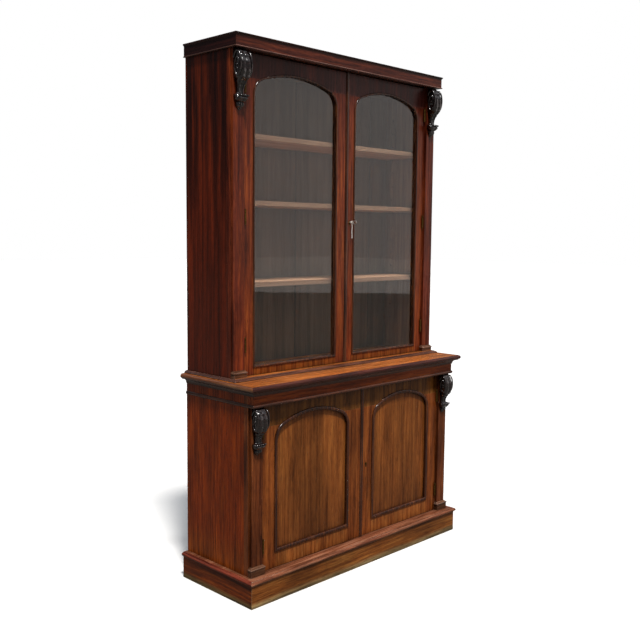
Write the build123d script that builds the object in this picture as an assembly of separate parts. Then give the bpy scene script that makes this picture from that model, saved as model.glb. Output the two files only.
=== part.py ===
"""Two-part glazed bookcase: a panelled cupboard base under a glazed case with adjustable shelves.

Millimetres, +Z up, origin on the floor at the middle of the whole outline.
The front faces -Y and the viewer's right is +X.
"""

import math
import os

from build123d import *

os.makedirs("parts", exist_ok=True)

# Overall sizes
HEIGHT = 2350
BACK = 245
FLOOR_TO_PLINTH_BOARD = 98
PLINTH_TOP = 118
PLINTH_HALF_WIDTH = 698.5
PLINTH_FRONT = -229
WAIST_UNDER = 913
WAIST_TOP = 933
WAIST_HALF_WIDTH = 707
WAIST_FRONT = -245
CORNICE_FOOT = 2294
CORNICE_HALF_WIDTH = 676
CORNICE_FRONT = -105

# Carcasses
SIDE_THICKNESS = 22
BACK_BOARD = 12
STILE_DEPTH = 27
BASE_HALF_WIDTH = 673
BASE_DOOR_FACE = -176
FRIEZE_FRONT = -211
FRIEZE_FOOT = 838
BASE_STOP_FOOT = 826
CASE_HALF_WIDTH = 668
CASE_DOOR_FACE = -59
CASE_FLOOR = 945
CASE_CEILING = 2272
CASE_FOOT_FRONT = -91

# Pilasters, their feet and their corbels
PILASTER_INNER = 604
PILASTER_OUTER = 664
PILASTER_PROUD = 12
FOOT_INNER = 596
CORBEL_WIDTH = 58
BASE_CORBEL_HEIGHT = 203
BASE_CORBEL_PROUD = 41
CASE_CORBEL_HEIGHT = 243
CASE_CORBEL_PROUD = 48
BASE_FOOT_BODY = 28
CASE_FOOT_BODY = 17
FOOT_BAND = 5
FOOT_SLOPE = 8
FOOT_LAP = 3

# Doors
DOOR_THICKNESS = 22
DOOR_EDGE = 594
DOOR_GAP = 1
MEETING_X = 15
GLAZED_DOOR_FOOT = 947
GLAZED_DOOR_TOP = 2290
PANEL_DOOR_FOOT = 120
PANEL_DOOR_TOP = 836
ARCH_RISE = 100
ARCH_CORNER_RADIUS = 70
GLASS_THICKNESS = 3
GLASS_DEPTH = 10
BEAD_WIDTH = 10
BEAD_PROUD = 4.5
PANEL_MOULDING_WIDTH = 15
ASTRAGAL_WIDTH = 19
ASTRAGAL_PROUD = 6

# Shelves and the pegs that carry them
SHELF_THICKNESS = 20
SHELF_FRONT = -20
SHELF_UNDERSIDES = (1320, 1670, 1950)
BASE_SHELF_FRONT = -115
BASE_SHELF_UNDERSIDE = 460
PEG_RADIUS = 3.5
PEG_PITCH = 70
PEG_COLUMNS = (20, 190)
PEG_DROP = 3.7
PEG_SPARE_HOLES = 3

# Hinges
HINGE_LENGTH = 64
KNUCKLE_RADIUS = 4.5
KNUCKLE_MIDDLE = 24
PIN_RADIUS = 2
LEAF_THICKNESS = 2
LEAF_DEPTH = 18
PIN_PROUD = 5
PIN_X = DOOR_EDGE + DOOR_GAP / 2
GLAZED_HINGE_HEIGHTS = (1080, 1618, 2156)
PANEL_HINGE_HEIGHTS = (230, 726)

# Locks, key and slide bolts
UPPER_KEY_X = 48
UPPER_KEY_Z = 1606
LOWER_KEY_X = 57
LOWER_KEY_Z = 467
SHANK_RADIUS = 3
KEY_BIT_RADIUS = 11
LOCK_DEPTH = 12
SLIDE_BOLT_X = -12
SLIDE_BOLT_RADIUS = 2.75
SLIDE_BOLT_LENGTH = 82

# String on the key
STRING_DIAMETER = 3.2
STRING_Y = -76

RUNNING = 0.05


def board(x0, x1, y0, y1, z0, z1):
    """A rectangular board between two corners."""
    middle = Pos((x0 + x1) / 2, (y0 + y1) / 2, (z0 + z1) / 2)
    return middle * Box(x1 - x0, y1 - y0, z1 - z0)


def both_sides(shape):
    """A piece on the right and its mirror image on the left."""
    return [shape, mirror(shape, about=Plane.YZ)]


def rod(radius, x, y, z, length, direction):
    """A round bar that starts at a point and runs along a direction."""
    place = Plane(origin=(x, y, z), z_dir=direction)
    return extrude(place * Circle(radius), amount=length)


def save(name, *pieces):
    solids = [solid for piece in pieces for solid in piece.solids()]
    shape = solids[0] if len(solids) == 1 else Compound(solids)
    export_step(shape, f"parts/{name}.step")


def outline(*stretches):
    """A closed face from points, where a triple of points is an arc through its middle one."""
    edges = []
    here = stretches[0]
    for step in stretches[1:] + (stretches[0],):
        if isinstance(step[0], tuple):
            edges.append(ThreePointArc(here, step[0], step[1]))
            here = step[1]
        else:
            edges.append(Line(here, step))
            here = step
    return make_face(edges)


def front_face(face, y_front, y_back):
    """An outline drawn in X and Z, given thickness between two depths."""
    return extrude(Plane.XZ.offset(-y_back) * face, amount=y_back - y_front)


def plan_prism(*points):
    """A plan outline raised through the whole height."""
    return extrude(make_face(Polyline(*points, close=True)), amount=HEIGHT + 10)


def three_runs(section, half_width, front):
    """Front, right and left runs of a moulding, mitred at the two front corners.

    The section is drawn with X out from the face and Y up.
    """
    reach = 60
    wide = half_width + reach
    across = Plane(origin=(wide, front, 0), x_dir=(0, -1, 0), z_dir=(-1, 0, 0))
    along = Plane(origin=(half_width, BACK, 0), x_dir=(1, 0, 0), z_dir=(0, -1, 0))
    inner = half_width - reach
    front_zone = plan_prism(
        (-wide, front - reach), (wide, front - reach), (inner, front + reach), (-inner, front + reach)
    )
    side_zone = plan_prism(
        (wide, front - reach), (wide, BACK), (inner, BACK), (inner, front + reach)
    )
    front_run = extrude(across * section, amount=2 * wide) & front_zone
    right_run = extrude(along * section, amount=BACK - front + reach) & side_zone
    return [front_run] + both_sides(right_run)


def arch(x0, x1, z0, spring, rise, corner):
    """An opening with a flat foot and a three-centred arch over it."""
    half = (x1 - x0) / 2
    middle = (x0 + x1) / 2
    crown_radius = ((half - corner) ** 2 + rise**2 - corner**2) / (2 * (rise - corner))
    crown_centre = spring + rise - crown_radius
    turn = math.atan2(spring - crown_centre, half - corner)
    join_x = (half - corner) + corner * math.cos(turn)
    join_z = spring + corner * math.sin(turn)
    mid_x = (half - corner) + corner * math.cos(turn / 2)
    mid_z = spring + corner * math.sin(turn / 2)
    return outline(
        (x0, z0),
        (x1, z0),
        (x1, spring),
        ((middle + mid_x, mid_z), (middle + join_x, join_z)),
        ((middle, spring + rise), (middle - join_x, join_z)),
        ((middle - mid_x, mid_z), (x0, spring)),
    )


class Opening:
    """The arched sight line of one door, which can be drawn larger by any margin."""

    def __init__(self, x0, x1, foot, spring):
        self.x0 = x0
        self.x1 = x1
        self.foot = foot
        self.spring = spring

    def face(self, margin):
        return arch(
            self.x0 - margin,
            self.x1 + margin,
            self.foot - margin,
            self.spring,
            ARCH_RISE + margin,
            ARCH_CORNER_RADIUS + margin,
        )

    def ring(self, inner, outer, y_front, y_back):
        """A band around the opening between two margins."""
        return front_face(self.face(outer), y_front, y_back) - front_face(
            self.face(inner), y_front - 1, y_back + 1
        )


def rounded_ring(opening, inner, outer, y_front, y_back, radius):
    """A band whose two front edges are rounded over."""
    band = opening.ring(inner, outer, y_front, y_back)
    front_edges = band.faces().sort_by(Axis.Y)[0].edges()
    return fillet(front_edges, radius)


def door_frame(x0, x1, z0, z1, opening, margin, y_front):
    """Two stiles, a foot rail and a full-width arched head rail."""
    y_back = y_front + DOOR_THICKNESS
    hole = front_face(opening.face(margin), y_front - 1, y_back + 1)
    rail_foot = opening.spring + ARCH_RISE - 32
    left = opening.x0 - margin
    right = opening.x1 + margin
    foot = opening.foot - margin
    middle = (left + right) / 2
    foot_rail = board(left, right, y_front, y_back, z0, foot)
    head_rail = board(x0, x1, y_front, y_back, rail_foot, z1) - hole
    left_stile = board(x0, middle, y_front, y_back, z0, rail_foot) - hole - foot_rail
    right_stile = board(middle, x1, y_front, y_back, z0, rail_foot) - hole - foot_rail
    return [left_stile, right_stile, foot_rail, head_rail]


def hinge(side, height, face):
    """One butt hinge: its fixed leaf, door leaf, pin, screws and the recesses for them."""
    axis_y = face - PIN_PROUD
    half = HINGE_LENGTH / 2
    low = height - half
    mid_low = height - KNUCKLE_MIDDLE / 2
    mid_high = height + KNUCKLE_MIDDLE / 2
    clear_y = axis_y + KNUCKLE_RADIUS + 0.3
    leaf_back = face + LEAF_DEPTH
    fixed_x = DOOR_EDGE + DOOR_GAP
    bore = rod(PIN_RADIUS + RUNNING, PIN_X, axis_y, low - 1, HINGE_LENGTH + 2, (0, 0, 1))

    def leaf(x0, knuckles):
        plate = board(x0, x0 + LEAF_THICKNESS, clear_y, leaf_back, low, low + HINGE_LENGTH)
        for z0, z1 in knuckles:
            plate += board(x0, x0 + LEAF_THICKNESS, axis_y, clear_y, z0, z1)
            plate += rod(KNUCKLE_RADIUS, PIN_X, axis_y, z0, z1 - z0, (0, 0, 1))
        return plate - bore

    def screws(x, direction):
        found = []
        for offset in (-22, 0, 22):
            spot = Plane(origin=(x, face + LEAF_DEPTH / 2, height + offset), z_dir=(direction, 0, 0))
            profile = outline((0, 0), (3.2, 0), (1.5, 1.7), (1.5, 13), (0, 14))
            found.append(spot * revolve(Plane.XZ * profile, Axis.Z))
        return found

    gap = 0.3
    fixed = leaf(fixed_x, [(low, mid_low - gap), (mid_high + gap, low + HINGE_LENGTH)])
    swinging = leaf(DOOR_EDGE - LEAF_THICKNESS, [(mid_low, mid_high)])
    fixed_screws = screws(fixed_x, 1)
    door_screws = screws(DOOR_EDGE, -1)
    for screw in fixed_screws:
        fixed -= screw
    for screw in door_screws:
        swinging -= screw
    recess = board(fixed_x - 0.5, fixed_x + LEAF_THICKNESS, face, leaf_back, low, low + HINGE_LENGTH)
    door_x = DOOR_EDGE - LEAF_THICKNESS
    door_recess = board(door_x, DOOR_EDGE + 0.5, face, leaf_back, low, low + HINGE_LENGTH)
    pin = rod(PIN_RADIUS, PIN_X, axis_y, low, HINGE_LENGTH, (0, 0, 1))
    pieces = {
        "fixed": [fixed] + fixed_screws,
        "door": [swinging] + door_screws,
        "pin": [pin],
        "fixed_cut": [recess] + fixed_screws,
        "door_cut": [door_recess] + door_screws,
    }
    if side < 0:
        return {key: [mirror(p, about=Plane.YZ) for p in group] for key, group in pieces.items()}
    return pieces


def cut_away(shape, cutters):
    for cutter in cutters:
        shape -= cutter
    return shape


def keyhole(x, z, y_front, y_back):
    """A round hole with the slot below it that lets the key's bit through."""
    length = y_back - y_front
    hole = rod(SHANK_RADIUS + RUNNING, x, y_front, z, length, (0, 1, 0))
    return hole + board(x - 1.7, x + 1.7, y_front, y_back, z - KEY_BIT_RADIUS - 0.8, z)


def lock(x, z, door_back, door_face):
    """A straight cupboard lock on the back of a door, its bolt and its escutcheon."""
    left = MEETING_X + DOOR_GAP + 2
    right = x + 22
    case = board(left, right, door_back, door_back + LOCK_DEPTH, z - 36, z + 36)
    case -= board(left + 2, right - 2, door_back + 2, door_back + 9, z - 13, z + 26)
    case -= board(left - 1, left + 3, door_back + 2.7, door_back + 7.3, z + 7.7, z + 24.3)
    case -= keyhole(x, z, door_back - 1, door_back + 2.5)
    bolt = board(left + 1, x + 18, door_back + 3, door_back + 7, z + 8, z + 24)
    bolt -= board(x + 8, x + 19, door_back + 2, door_back + 8, z + 7, z + 11.8)
    plate = extrude(Plane.XZ.offset(-door_face) * (Pos(x, z) * Circle(6.5)), amount=1)
    plate += board(x - 3.6, x + 3.6, door_face - 1, door_face, z - 14.5, z)
    plate -= keyhole(x, z, door_face - 2, door_face + 1)
    return case, bolt, plate


def lock_keep(z, door_back):
    """The box on the other door that the lock's bolt shoots into."""
    keep = board(-4, MEETING_X - 1.5, door_back, door_back + 11, z + 2, z + 30)
    return keep - board(4, MEETING_X, door_back + 2.5, door_back + 7.5, z + 7.5, z + 24.5)


def slide_bolt(door_back, end, up):
    """A barrel bolt on the back of a door, whose bar shoots up (1) or down (-1) past its end."""
    bar_y = door_back + 8

    def level(distance):
        return end - up * distance

    def span(y0, y1, near, far, half):
        z0, z1 = sorted((level(near), level(far)))
        return board(SLIDE_BOLT_X - half, SLIDE_BOLT_X + half, y0, y1, z0, z1)

    bore = rod(SLIDE_BOLT_RADIUS + RUNNING, SLIDE_BOLT_X, bar_y, level(-5), 110, (0, 0, -up))
    plate = span(door_back, door_back + 2, 3, 80, 7)
    for near, far in ((8, 15), (60, 67)):
        plate += span(door_back + 2, door_back + 13, near, far, 7) - bore
    bar = rod(SLIDE_BOLT_RADIUS, SLIDE_BOLT_X, bar_y, level(0), SLIDE_BOLT_LENGTH, (0, 0, -up))
    bar += rod(2.2, SLIDE_BOLT_X, bar_y, level(44), 9, (0, 1, 0))
    bar += rod(3.4, SLIDE_BOLT_X, bar_y + 7, level(44), 4, (0, 1, 0))
    return plate, bar


def bolt_hole(door_back, z, depth, up):
    """The hole that a slide bolt enters."""
    return rod(SLIDE_BOLT_RADIUS + 0.25, SLIDE_BOLT_X, door_back + 8, z - up, depth + 1, (0, 0, up))


def corbel_section(height, proud, y, top):
    """Side view of a corbel: a scroll, a hollow neck, a beaded knob and a leaf drop."""

    def at(out, down):
        return (y - out * proud, top - down * height)

    return outline(
        at(0, 0),
        at(0.14, 0),
        (at(0.80, 0.14), at(1.0, 0.33)),
        (at(0.90, 0.50), at(0.52, 0.57)),
        (at(0.30, 0.64), at(0.25, 0.735)),
        (at(0.66, 0.81), at(0.12, 0.89)),
        (at(0.27, 0.935), at(0, 1.0)),
    )


def corbels(height, proud, y, top):
    middle = (PILASTER_INNER + PILASTER_OUTER) / 2
    start = Plane(origin=(middle - CORBEL_WIDTH / 2, 0, 0), x_dir=(0, 1, 0), z_dir=(1, 0, 0))
    return both_sides(extrude(start * corbel_section(height, proud, y, top), amount=CORBEL_WIDTH))


def pilaster_foot(face, floor, outer, body_height):
    """A small plinth block: a plain body, a thin band and a sloping top."""
    pilaster_front = face - PILASTER_PROUD
    band_front = pilaster_front - PILASTER_PROUD
    band_top = floor + body_height + FOOT_BAND
    foot = board(FOOT_INNER + 2, outer - 2, band_front + 2, face, floor, floor + body_height)
    foot += board(FOOT_INNER, outer, band_front, face, floor + body_height, band_top)

    def level(x0, x1, y0, z):
        rectangle = Rectangle(x1 - x0, face - y0)
        return Pos((x0 + x1) / 2, (y0 + face) / 2, z) * rectangle

    low = level(FOOT_INNER + 1, outer - 1, band_front + 1, band_top)
    high = level(PILASTER_INNER, PILASTER_OUTER, pilaster_front, band_top + FOOT_SLOPE)
    return foot + loft([low, high])


def back_boards(half_width, z0, z1):
    """Upright boards across the back, half-lapped so that their joints let no light through."""
    joints = (-half_width, -566, -27, 512, half_width)
    gap = 0.5
    lap = 8
    lap_face = BACK - BACK_BOARD / 2
    boards = []
    for x0, x1 in zip(joints[:-1], joints[1:]):
        left = x0 if x0 == joints[0] else x0 + gap
        right = x1 if x1 == joints[-1] else x1 - gap
        rear_left = left if x0 == joints[0] else left + lap
        rear_right = right if x1 == joints[-1] else right + lap
        front_half = board(left, right, BACK - BACK_BOARD, lap_face, z0, z1)
        boards.append(front_half + board(rear_left, rear_right, lap_face, BACK, z0, z1))
    return boards


# Plinth
inner_front = PLINTH_FRONT + SIDE_THICKNESS
inner_back = BACK - SIDE_THICKNESS
plinth_inner = PLINTH_HALF_WIDTH - SIDE_THICKNESS
board_top = FLOOR_TO_PLINTH_BOARD
save(
    "plinth_boards",
    board(-PLINTH_HALF_WIDTH, PLINTH_HALF_WIDTH, PLINTH_FRONT, inner_front, 0, board_top),
    board(-PLINTH_HALF_WIDTH, PLINTH_HALF_WIDTH, inner_back, BACK, 0, board_top),
    *both_sides(board(plinth_inner, PLINTH_HALF_WIDTH, inner_front, inner_back, 0, board_top)),
)
PLINTH_MOULDING_DEPTH = 8.5
plinth_section = outline(
    (-PLINTH_MOULDING_DEPTH, board_top),
    (1, board_top),
    (1, board_top + 2.5),
    (2.5, board_top + 2.5),
    ((9, board_top + 10), (2.5, board_top + 17.5)),
    (-1, board_top + 17.5),
    (-1, PLINTH_TOP),
    (-PLINTH_MOULDING_DEPTH, PLINTH_TOP),
)
save("plinth_mouldings", *three_runs(plinth_section, PLINTH_HALF_WIDTH, PLINTH_FRONT))

# Hinges of all four doors
hinge_sets = {}
for door, side, face, heights in (
    ("glazed_left", -1, CASE_DOOR_FACE, GLAZED_HINGE_HEIGHTS),
    ("glazed_right", 1, CASE_DOOR_FACE, GLAZED_HINGE_HEIGHTS),
    ("panel_left", -1, BASE_DOOR_FACE, PANEL_HINGE_HEIGHTS),
    ("panel_right", 1, BASE_DOOR_FACE, PANEL_HINGE_HEIGHTS),
):
    hinge_sets[door] = [hinge(side, height, face) for height in heights]


def gathered(key, *doors):
    return [piece for door in doors for one in hinge_sets[door] for piece in one[key]]


all_doors = tuple(hinge_sets)
save("hinge_fixed_leaves", *gathered("fixed", *all_doors))
save("hinge_pins", *gathered("pin", *all_doors))
for door in all_doors:
    save(f"{door}_hinge_leaves", *gathered("door", door))

# Base carcass
case_door_back = CASE_DOOR_FACE + DOOR_THICKNESS
base_door_back = BASE_DOOR_FACE + DOOR_THICKNESS
base_side_inner = BASE_HALF_WIDTH - SIDE_THICKNESS
base_stile_back = BASE_DOOR_FACE + STILE_DEPTH
fixed_edge = DOOR_EDGE + DOOR_GAP
deck_half = PLINTH_HALF_WIDTH - PLINTH_MOULDING_DEPTH
deck_front = PLINTH_FRONT + PLINTH_MOULDING_DEPTH
deck = board(-deck_half, deck_half, deck_front, BACK, board_top, PLINTH_TOP)
save("base_bottom_board", deck - bolt_hole(base_door_back, PLINTH_TOP, 14, -1))
save(
    "base_sides",
    *both_sides(
        board(base_side_inner, BASE_HALF_WIDTH, base_stile_back, BACK, PLINTH_TOP, WAIST_UNDER)
    ),
)
base_stiles = both_sides(
    board(fixed_edge, BASE_HALF_WIDTH, BASE_DOOR_FACE, base_stile_back, PLINTH_TOP, WAIST_UNDER)
)
base_stiles[0] = cut_away(base_stiles[0], gathered("fixed_cut", "panel_right"))
base_stiles[1] = cut_away(base_stiles[1], gathered("fixed_cut", "panel_left"))
base_foot_top = PLINTH_TOP + BASE_FOOT_BODY + FOOT_BAND + FOOT_SLOPE
case_foot_top = CASE_FLOOR + CASE_FOOT_BODY + FOOT_BAND + FOOT_SLOPE
base_pilaster_face = BASE_DOOR_FACE - PILASTER_PROUD
case_pilaster_face = CASE_DOOR_FACE - PILASTER_PROUD
save(
    "base_pilasters",
    *base_stiles,
    *both_sides(
        board(
            PILASTER_INNER, PILASTER_OUTER, base_pilaster_face, BASE_DOOR_FACE, base_foot_top, FRIEZE_FOOT
        )
    ),
)
save(
    "pilaster_feet",
    *both_sides(pilaster_foot(BASE_DOOR_FACE, PLINTH_TOP, BASE_HALF_WIDTH + FOOT_LAP, BASE_FOOT_BODY)),
    *both_sides(pilaster_foot(CASE_DOOR_FACE, CASE_FLOOR, CASE_HALF_WIDTH + FOOT_LAP, CASE_FOOT_BODY)),
)
save("base_corbels", *corbels(BASE_CORBEL_HEIGHT, BASE_CORBEL_PROUD, base_pilaster_face, FRIEZE_FOOT))
save("case_corbels", *corbels(CASE_CORBEL_HEIGHT, CASE_CORBEL_PROUD, case_pilaster_face, CORNICE_FOOT - 2))

# The frieze rail, and the rebated rail behind it that the base doors close against
frieze = board(-BASE_HALF_WIDTH, BASE_HALF_WIDTH, FRIEZE_FRONT, BASE_DOOR_FACE, FRIEZE_FOOT, WAIST_UNDER)
STOP_RAIL_BACK = -125
STOP_RAIL_TOP = 866
stop_front = base_door_back + 1
stop_rail = board(-fixed_edge, fixed_edge, BASE_DOOR_FACE, STOP_RAIL_BACK, FRIEZE_FOOT, STOP_RAIL_TOP)
stop_rail -= board(
    fixed_edge - 1, fixed_edge + 1, base_stile_back, STOP_RAIL_BACK + 1, FRIEZE_FOOT - 1, STOP_RAIL_TOP + 1
)
stop_rail += board(-560, 560, stop_front, STOP_RAIL_BACK, BASE_STOP_FOOT, FRIEZE_FOOT)
stop_rail -= bolt_hole(base_door_back, BASE_STOP_FOOT, 13, 1)
save("base_front_rails", frieze, stop_rail)
save("base_back_boards", *back_boards(base_side_inner, PLINTH_TOP, WAIST_UNDER))
back_inner = BACK - BACK_BOARD
base_shelf_top = BASE_SHELF_UNDERSIDE + SHELF_THICKNESS
save(
    "base_shelf",
    board(
        -base_side_inner, base_side_inner, BASE_SHELF_FRONT, back_inner, BASE_SHELF_UNDERSIDE, base_shelf_top
    ),
)

# Waist: the moulded top, the cove under it and the bead under the frieze
NOSE = 20
waist_edge = outline(
    (0, WAIST_UNDER),
    (15, WAIST_UNDER),
    ((18.8, WAIST_UNDER + 3.5), (NOSE, WAIST_UNDER + 9)),
    ((17, WAIST_TOP - 3), (9, WAIST_TOP)),
    (0, WAIST_TOP),
)
waist_inner = WAIST_HALF_WIDTH - NOSE
waist_inner_front = WAIST_FRONT + NOSE
top_board = board(-waist_inner, waist_inner, waist_inner_front, BACK, WAIST_UNDER, WAIST_TOP)
for run in three_runs(waist_edge, waist_inner, waist_inner_front):
    top_board += run
cove_foot = WAIST_UNDER - 25
cove_top = WAIST_UNDER - 4
cove_section = outline(
    (0, cove_foot),
    (3, cove_foot),
    (3, cove_foot + 4),
    ((9.9, cove_top - 4.9), (24, cove_top)),
    (26, cove_top),
    (26, WAIST_UNDER),
    (0, WAIST_UNDER),
)
bead_top = FRIEZE_FOOT + 14
bead_section = outline(
    (0, FRIEZE_FOOT), (1.5, FRIEZE_FOOT), ((5, FRIEZE_FOOT + 7), (1.5, bead_top)), (0, bead_top)
)
save(
    "waist_mouldings",
    *three_runs(cove_section, BASE_HALF_WIDTH, FRIEZE_FRONT),
    *three_runs(bead_section, BASE_HALF_WIDTH, FRIEZE_FRONT),
)

# Screws that join the case to the base
JOINING_SCREW_Y = 60
screw_end = WAIST_UNDER + 2
screw_profile = outline(
    (0, CASE_FLOOR), (5, CASE_FLOOR), (2.5, CASE_FLOOR - 4), (2.5, screw_end + 3), (0, screw_end)
)
joining_screws = [
    Pos(x, JOINING_SCREW_Y, 0) * revolve(Plane.XZ * screw_profile, Axis.Z) for x in (-400, 400)
]
save("joining_screws", *joining_screws)
save("waist_top", cut_away(top_board, joining_screws))

# Case carcass
case_side_inner = CASE_HALF_WIDTH - SIDE_THICKNESS
case_stile_back = CASE_DOOR_FACE + STILE_DEPTH
case_floor = board(-CASE_HALF_WIDTH, CASE_HALF_WIDTH, CASE_FOOT_FRONT, BACK, WAIST_TOP, CASE_FLOOR)
case_floor -= bolt_hole(case_door_back, CASE_FLOOR, 10, -1)
save("case_bottom_board", cut_away(case_floor, joining_screws))
foot_section = outline(
    (0, WAIST_TOP),
    (18, WAIST_TOP),
    (18, WAIST_TOP + 4),
    (16.5, WAIST_TOP + 4),
    ((13.6, CASE_FLOOR - 3.6), (7, CASE_FLOOR - 1.5)),
    (7, CASE_FLOOR),
    (0, CASE_FLOOR),
)
save("case_foot_mouldings", *three_runs(foot_section, CASE_HALF_WIDTH, CASE_FOOT_FRONT))

peg_levels = [underside - PEG_DROP for underside in SHELF_UNDERSIDES]
lowest_hole = peg_levels[0] - PEG_SPARE_HOLES * PEG_PITCH
hole_count = round((peg_levels[-1] - peg_levels[0]) / PEG_PITCH) + 2 * PEG_SPARE_HOLES + 1
PEG_HOLE_DEPTH = 12
PEG_REACH = 13
case_side = board(case_side_inner, CASE_HALF_WIDTH, case_stile_back, BACK, CASE_FLOOR, CORNICE_FOOT)
for column in PEG_COLUMNS:
    for index in range(hole_count):
        z = lowest_hole + index * PEG_PITCH
        case_side -= rod(PEG_RADIUS + RUNNING, case_side_inner - 1, column, z, PEG_HOLE_DEPTH + 1, (1, 0, 0))
save("case_sides", *both_sides(case_side))
pegs = []
for column in PEG_COLUMNS:
    for z in peg_levels:
        start = case_side_inner - PEG_REACH
        pegs += both_sides(rod(PEG_RADIUS, start, column, z, PEG_REACH + PEG_HOLE_DEPTH - 1, (1, 0, 0)))
save("shelf_pegs", *pegs)
case_stiles = both_sides(
    board(fixed_edge, CASE_HALF_WIDTH, CASE_DOOR_FACE, case_stile_back, CASE_FLOOR, CORNICE_FOOT)
)
case_stiles[0] = cut_away(case_stiles[0], gathered("fixed_cut", "glazed_right"))
case_stiles[1] = cut_away(case_stiles[1], gathered("fixed_cut", "glazed_left"))
save(
    "case_pilasters",
    *case_stiles,
    *both_sides(
        board(
            PILASTER_INNER, PILASTER_OUTER, case_pilaster_face, CASE_DOOR_FACE, case_foot_top, CORNICE_FOOT
        )
    ),
)
ceiling = board(-fixed_edge, fixed_edge, case_door_back + 1, case_stile_back, CASE_CEILING, CORNICE_FOOT)
ceiling += board(-case_side_inner, case_side_inner, case_stile_back, back_inner, CASE_CEILING, CORNICE_FOOT)
save("case_top_board", ceiling - bolt_hole(case_door_back, CASE_CEILING, 14, 1))
save("case_back_boards", *back_boards(case_side_inner, CASE_FLOOR, CORNICE_FOOT))

# Cornice: a fascia with a bead below and a fillet above, its soffit, back rail and dust board
FASCIA = 20
fascia_section = outline(
    (-FASCIA, CORNICE_FOOT),
    (2, CORNICE_FOOT),
    ((4, CORNICE_FOOT + 2.5), (2, CORNICE_FOOT + 5)),
    (0, CORNICE_FOOT + 5),
    (0, HEIGHT - 9),
    (1.5, HEIGHT - 9),
    ((2.8, HEIGHT - 6.2), (5, HEIGHT - 5)),
    (5, HEIGHT),
    (-FASCIA, HEIGHT),
)
save("cornice_fascia", *three_runs(fascia_section, CORNICE_HALF_WIDTH, CORNICE_FRONT))
cornice_inner = CORNICE_HALF_WIDTH - FASCIA
fascia_back = CORNICE_FRONT + FASCIA
DUST_BOARD_FOOT = 2326
rail_front = BACK - SIDE_THICKNESS
save(
    "cornice_soffit",
    board(-cornice_inner, cornice_inner, fascia_back, case_stile_back, CORNICE_FOOT, CORNICE_FOOT + 12),
    board(-cornice_inner, cornice_inner, rail_front, BACK, CORNICE_FOOT, DUST_BOARD_FOOT),
)
dust_board_top = DUST_BOARD_FOOT + 10
save(
    "cornice_dust_board",
    board(-cornice_inner, cornice_inner, fascia_back, BACK, DUST_BOARD_FOOT, dust_board_top),
)

# Adjustable shelves, numbered from the lowest
shelf_half = case_side_inner - 1
for number, underside in enumerate(SHELF_UNDERSIDES, start=1):
    shelf_top = underside + SHELF_THICKNESS
    shelf = board(-shelf_half, shelf_half, SHELF_FRONT, back_inner - 3, underside, shelf_top)
    save(f"shelf_{number}", shelf)

# Door frames
left_edge = MEETING_X - DOOR_GAP
right_edge = MEETING_X + DOOR_GAP
glazed_left = Opening(-538, -49, 986, 2122)
glazed_right = Opening(82, 538, 986, 2122)
panel_left = Opening(-512, -79, 203, 674)
panel_right = Opening(111, 512, 203, 674)
PANEL_FRAME_MARGIN = 8
upper_case, upper_bolt, upper_plate = lock(UPPER_KEY_X, UPPER_KEY_Z, case_door_back, CASE_DOOR_FACE)
lower_case, lower_bolt, lower_plate = lock(LOWER_KEY_X, LOWER_KEY_Z, base_door_back, BASE_DOOR_FACE)
upper_keyhole = keyhole(UPPER_KEY_X, UPPER_KEY_Z, CASE_DOOR_FACE - 1, case_door_back + 1)
lower_keyhole = keyhole(LOWER_KEY_X, LOWER_KEY_Z, BASE_DOOR_FACE - 1, base_door_back + 1)


def astragal(face, z0, z1):
    """A rounded strip on the meeting edge of a right-hand door."""
    x0 = MEETING_X + DOOR_GAP
    x1 = x0 + ASTRAGAL_WIDTH
    shoulder = face - 1.5
    crown = ((x0 + x1) / 2, face - ASTRAGAL_PROUD)
    section = outline((x0, face), (x0, shoulder), (crown, (x1, shoulder)), (x1, face))
    return extrude(Pos(0, 0, z0) * section, amount=z1 - z0)


for name, x0, x1, opening in (
    ("glazed_left", -DOOR_EDGE, left_edge, glazed_left),
    ("glazed_right", right_edge, DOOR_EDGE, glazed_right),
):
    frame = door_frame(x0, x1, GLAZED_DOOR_FOOT, GLAZED_DOOR_TOP, opening, BEAD_WIDTH, CASE_DOOR_FACE)
    if name == "glazed_right":
        frame = [piece - upper_keyhole for piece in frame]
    cuts = gathered("door_cut", name)
    save(f"{name}_frame", *[cut_away(piece, cuts) for piece in frame])
    glass_front = CASE_DOOR_FACE + GLASS_DEPTH
    glass_back = glass_front + GLASS_THICKNESS
    save(f"{name}_glass", front_face(opening.face(BEAD_WIDTH - 0.5), glass_front, glass_back))
    save(
        f"{name}_beads",
        rounded_ring(opening, 0, BEAD_WIDTH, CASE_DOOR_FACE - BEAD_PROUD, glass_front, 4.4),
        opening.ring(0, BEAD_WIDTH, glass_back, case_door_back),
    )

for name, x0, x1, opening in (
    ("panel_left", -DOOR_EDGE, left_edge, panel_left),
    ("panel_right", right_edge, DOOR_EDGE, panel_right),
):
    frame = door_frame(
        x0, x1, PANEL_DOOR_FOOT, PANEL_DOOR_TOP, opening, PANEL_FRAME_MARGIN, BASE_DOOR_FACE
    )
    if name == "panel_right":
        frame = [piece - lower_keyhole for piece in frame]
    cuts = gathered("door_cut", name)
    save(f"{name}_frame", *[cut_away(piece, cuts) for piece in frame])
    panel_front = BASE_DOOR_FACE + 8
    save(
        f"{name}_panel",
        front_face(opening.face(PANEL_FRAME_MARGIN), panel_front, panel_front + 10),
    )
    over_frame = rounded_ring(
        opening, 0, PANEL_MOULDING_WIDTH, BASE_DOOR_FACE - 6.5, BASE_DOOR_FACE, 5
    )
    in_frame = opening.ring(0, PANEL_FRAME_MARGIN, BASE_DOOR_FACE, panel_front)
    save(f"{name}_moulding", over_frame + in_frame)

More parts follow.
